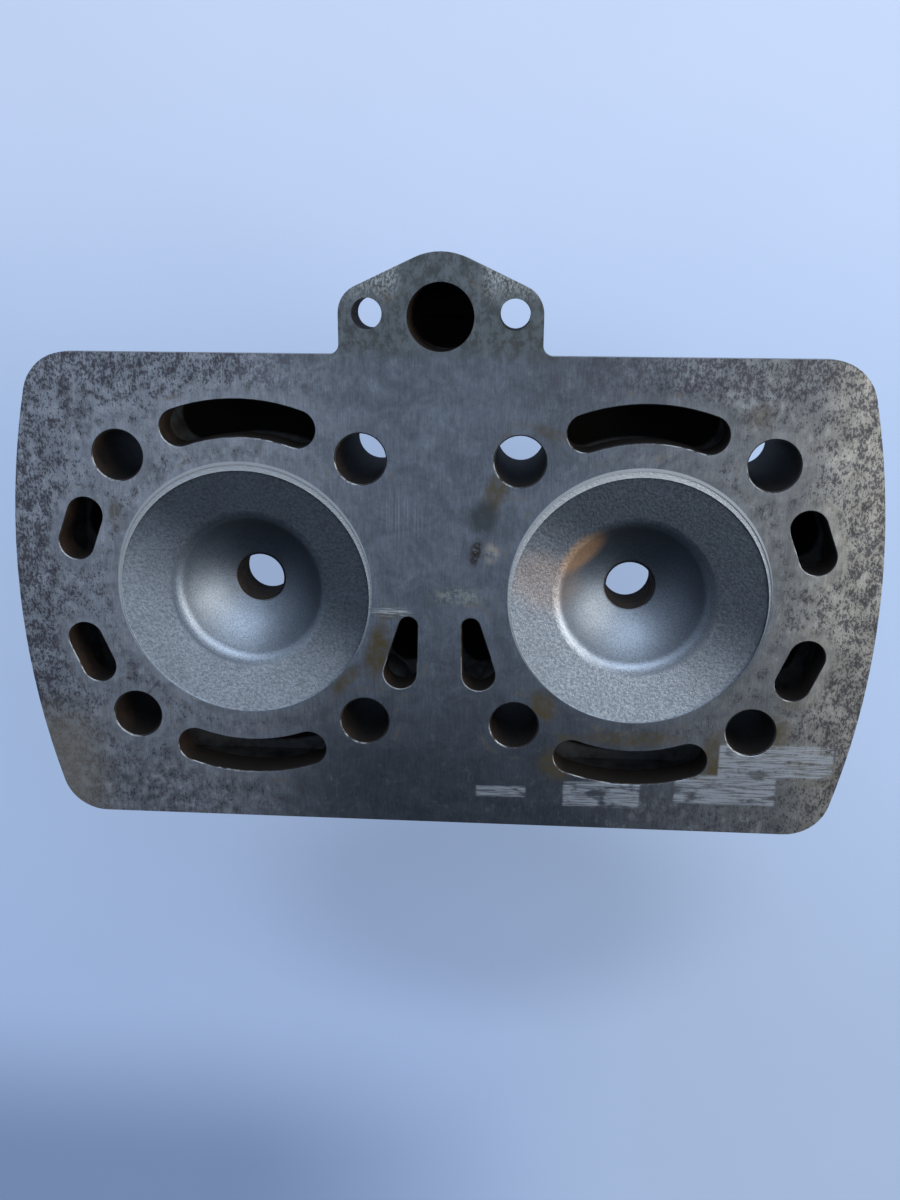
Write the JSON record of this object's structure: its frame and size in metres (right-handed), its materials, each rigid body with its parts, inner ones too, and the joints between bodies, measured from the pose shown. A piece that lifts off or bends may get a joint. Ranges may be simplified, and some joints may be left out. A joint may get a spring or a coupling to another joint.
{
  "type": "cylinder head",
  "caption": "Water-cooled two-stroke twin cylinder head with squish chambers, coolant slots, a coolant tab, and a thermostat under a bolted hose-neck cover.",
  "frame": {"origin": "on the gasket face, midway between the two cylinder axes", "axes": "+Z out of the gasket face, +X along the row of cylinders to the right, +Y towards the coolant tab"},
  "size_m": [0.2182, 0.1465, 0.068],
  "materials": {
    "cast_aluminium": "machined gasket face, blasted chambers, sand-cast elsewhere",
    "cover_aluminium": "die-cast, dull",
    "gasket_fibre": "compressed fibre",
    "zinc_steel": "zinc plated",
    "stainless_sheet": "pressed stainless sheet",
    "spring_steel": "drawn wire",
    "nitrile_rubber": "moulded",
    "brass": "turned",
    "copper": "annealed copper",
    "pin_steel": "ground and polished",
    "bakelite": "moulded phenolic"
  },
  "bodies": {
    "head": {"head_casting": "cast_aluminium", "cover_gasket": "gasket_fibre", "thermostat_cover": "cover_aluminium", "cover_bolts": "zinc_steel", "cover_spring_washers": "spring_steel", "cover_plain_washers": "zinc_steel", "thermostat_frame": "stainless_sheet", "spring_stirrup": "stainless_sheet", "thermostat_seal_ring": "nitrile_rubber", "piston_pin": "pin_steel", "thermostat_spring": "spring_steel", "sender_body": "brass", "sender_insulator": "bakelite", "sender_terminal": "zinc_steel", "sender_washer": "copper", "blanking_plug": "zinc_steel", "blanking_washer": "copper"},
    "valve": {"valve_disc": "stainless_sheet", "valve_seal": "nitrile_rubber", "wax_capsule": "brass"},
    "jiggle": {"jiggle_pin": "brass"},
    "bleed_seal": {"bleed_washer": "copper"},
    "bleed": {"bleed_screw": "zinc_steel"}
  },
  "joints": [
    {"name": "thermostat_valve", "type": "slide", "parent": "head", "child": "valve", "axis": [0, 0, 1], "range_m": [0, 0.007], "stiffness_N_per_m": 2000, "springref_m": -0.01, "deforming": ["thermostat_spring"]},
    {"name": "jiggle_pin_lift", "type": "slide", "parent": "head", "child": "jiggle", "axis": [0, 0, 1], "range_m": [0, 0.0013]},
    {"name": "bleed_screw_travel", "type": "slide", "parent": "head", "child": "bleed_seal", "axis": [0, -1, 0], "range_m": [0, 0.001]},
    {"name": "bleed_screw_turn", "type": "hinge", "parent": "bleed_seal", "child": "bleed", "pos_m": [0, -0.0255, -0.056], "axis": [0, -1, 0], "range_deg": [0, 360]}
  ],
  "couplings": [
    {"joint": "bleed_screw_turn", "follows": "bleed_screw_travel", "rad_per_m": 6283.2}
  ]
}
